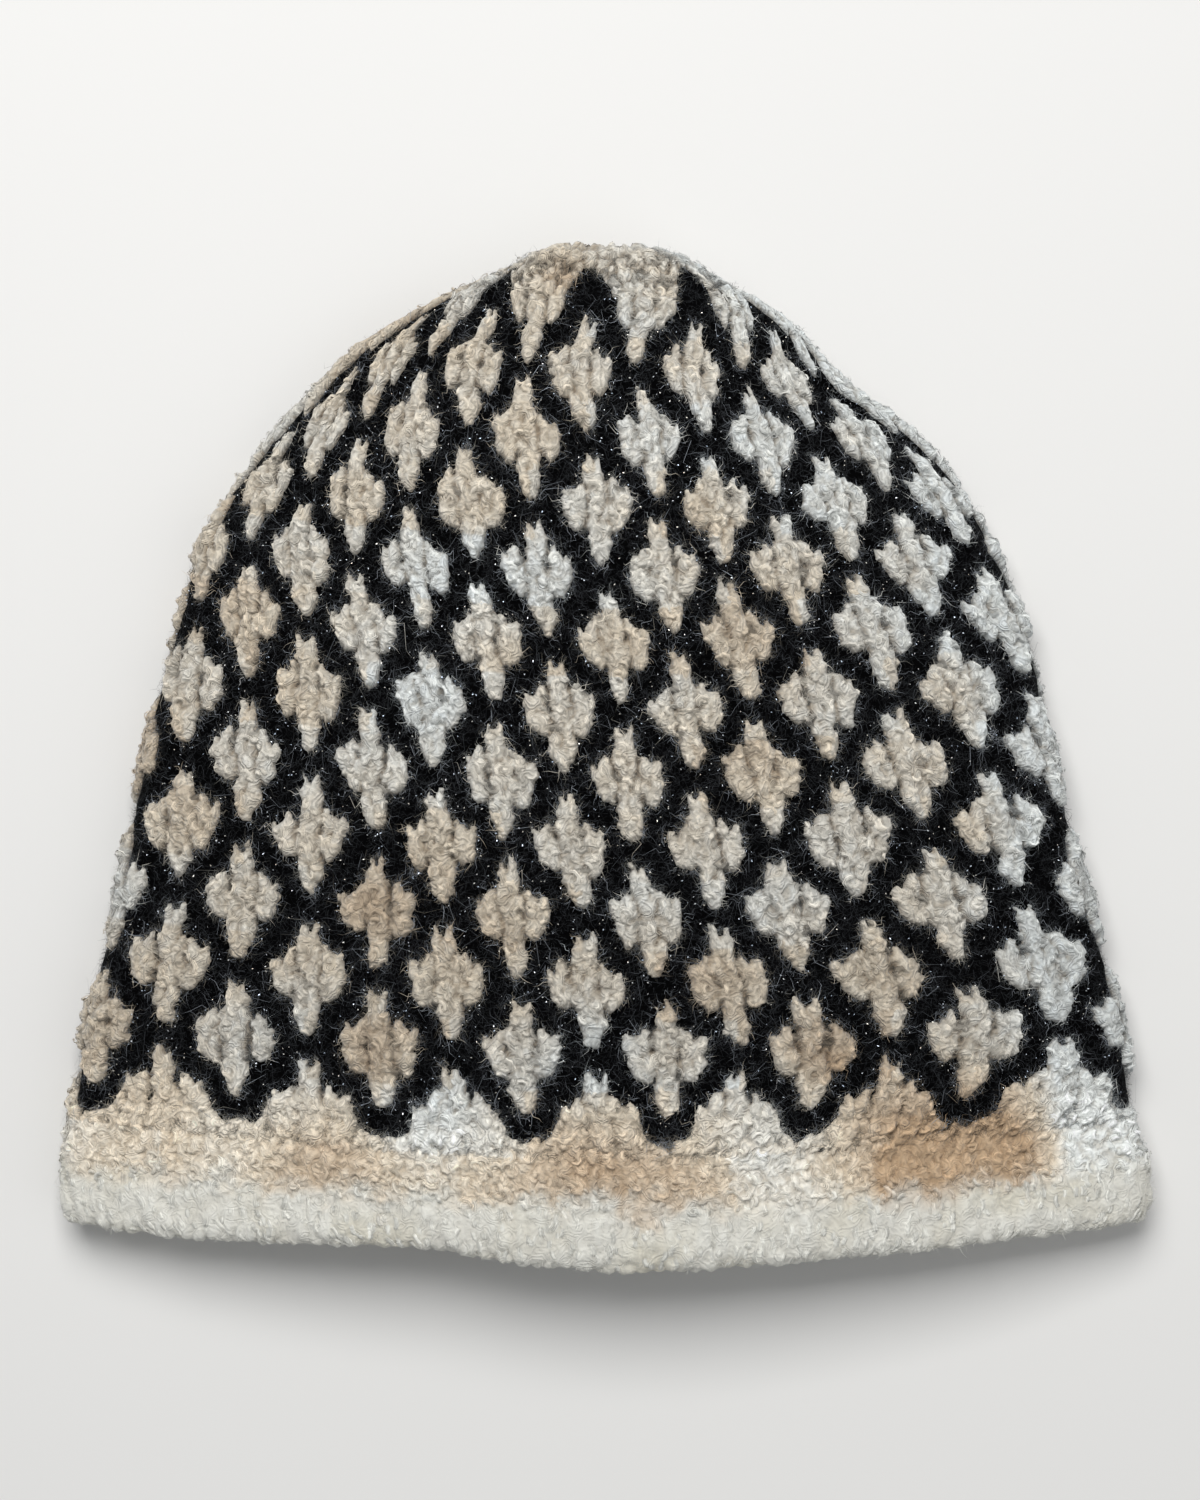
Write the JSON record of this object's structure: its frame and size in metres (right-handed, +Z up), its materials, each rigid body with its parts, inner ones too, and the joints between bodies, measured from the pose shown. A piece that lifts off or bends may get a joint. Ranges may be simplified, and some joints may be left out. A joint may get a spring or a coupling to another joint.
{
  "type": "knitted beanie",
  "caption": "Thick two-colour knitted beanie lying flat, with raised diamonds, a plain rolled brim and an open head hollow.",
  "frame": {"origin": "centre of the hat's outline on the surface it lies on", "axes": "+X across the brim to the wearer's side, +Y from the brim to the crown, +Z up through the front"},
  "size_m": [0.2594, 0.2414, 0.0361],
  "materials": {
    "white_boucle": "soft white looped yarn",
    "cream_boucle": "curly cream looped yarn, from white to tan",
    "charcoal_mohair": "near-black brushed yarn with fine glitter"
  },
  "bodies": {
    "root": {"rolled_hem": "white_boucle", "brim_band": "cream_boucle", "diamond_body": "charcoal_mohair", "crown_cap": "cream_boucle"}
  },
  "joints": []
}
